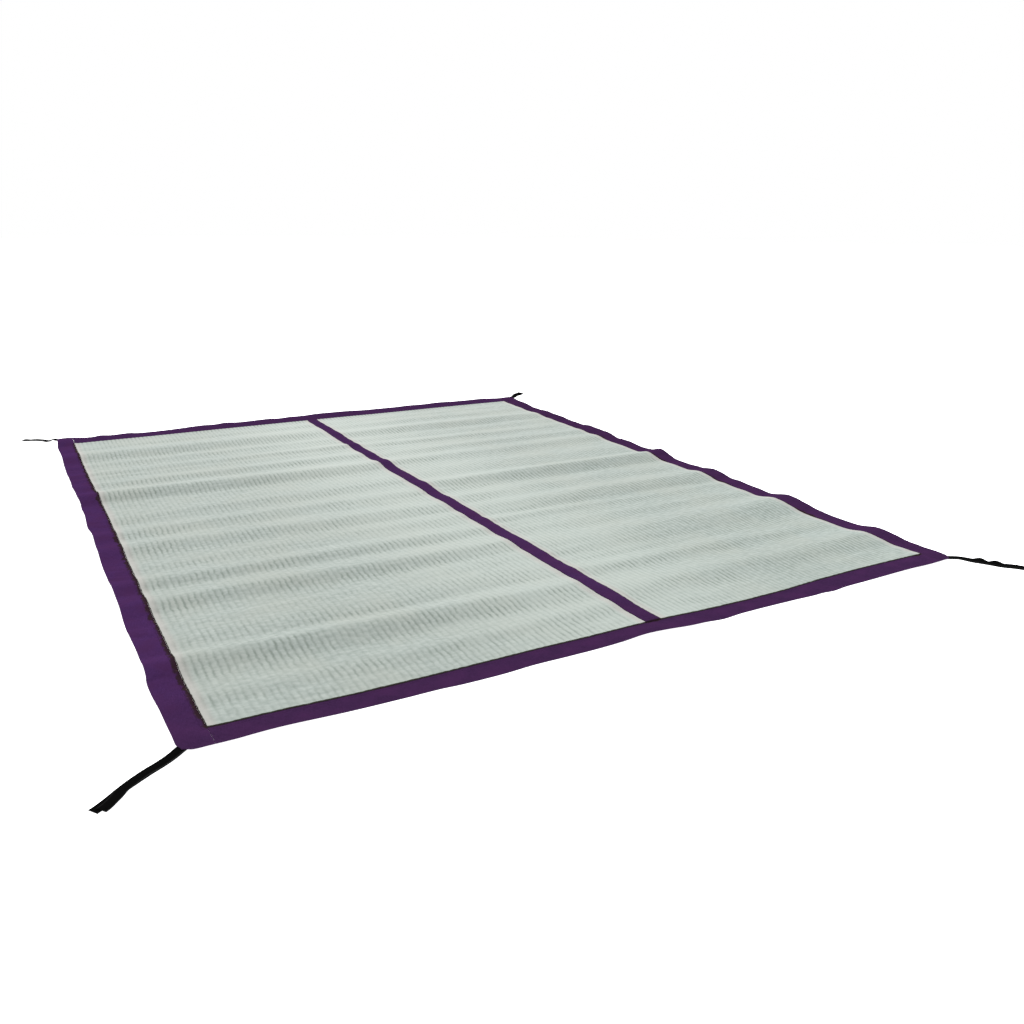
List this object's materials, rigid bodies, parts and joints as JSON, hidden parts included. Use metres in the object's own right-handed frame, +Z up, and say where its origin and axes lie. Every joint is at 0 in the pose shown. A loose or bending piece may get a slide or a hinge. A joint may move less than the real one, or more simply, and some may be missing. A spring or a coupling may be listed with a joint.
{
  "type": "tatami mat",
  "caption": "Thin floor mat of two woven rush panels joined by a cloth band, with a wide cloth border and a pair of short tie tapes at each corner, laid out flat with low folds",
  "frame": {"origin": "on the floor, under the middle of the mat without its ties", "axes": "+X along the front edge to the right, +Y from the front edge to the back edge, +Z up"},
  "size_m": [2.2952, 2.7612, 0.019],
  "materials": {
    "rush_weave": "matt woven rush, pale grey-green, ribbed front to back",
    "purple_cloth": "matt dark purple plain-weave cloth",
    "black_tape": "matt black woven tape"
  },
  "bodies": {
    "root": {"panel_left": "rush_weave", "panel_right": "rush_weave", "centre_band": "purple_cloth", "border_left": "purple_cloth", "border_right": "purple_cloth", "border_front": "purple_cloth", "border_back": "purple_cloth", "tie_front_left_lower": "black_tape", "tie_front_left_upper": "black_tape", "tie_front_right_lower": "black_tape", "tie_front_right_upper": "black_tape", "tie_back_left_lower": "black_tape", "tie_back_left_upper": "black_tape", "tie_back_right_lower": "black_tape", "tie_back_right_upper": "black_tape"}
  },
  "joints": []
}
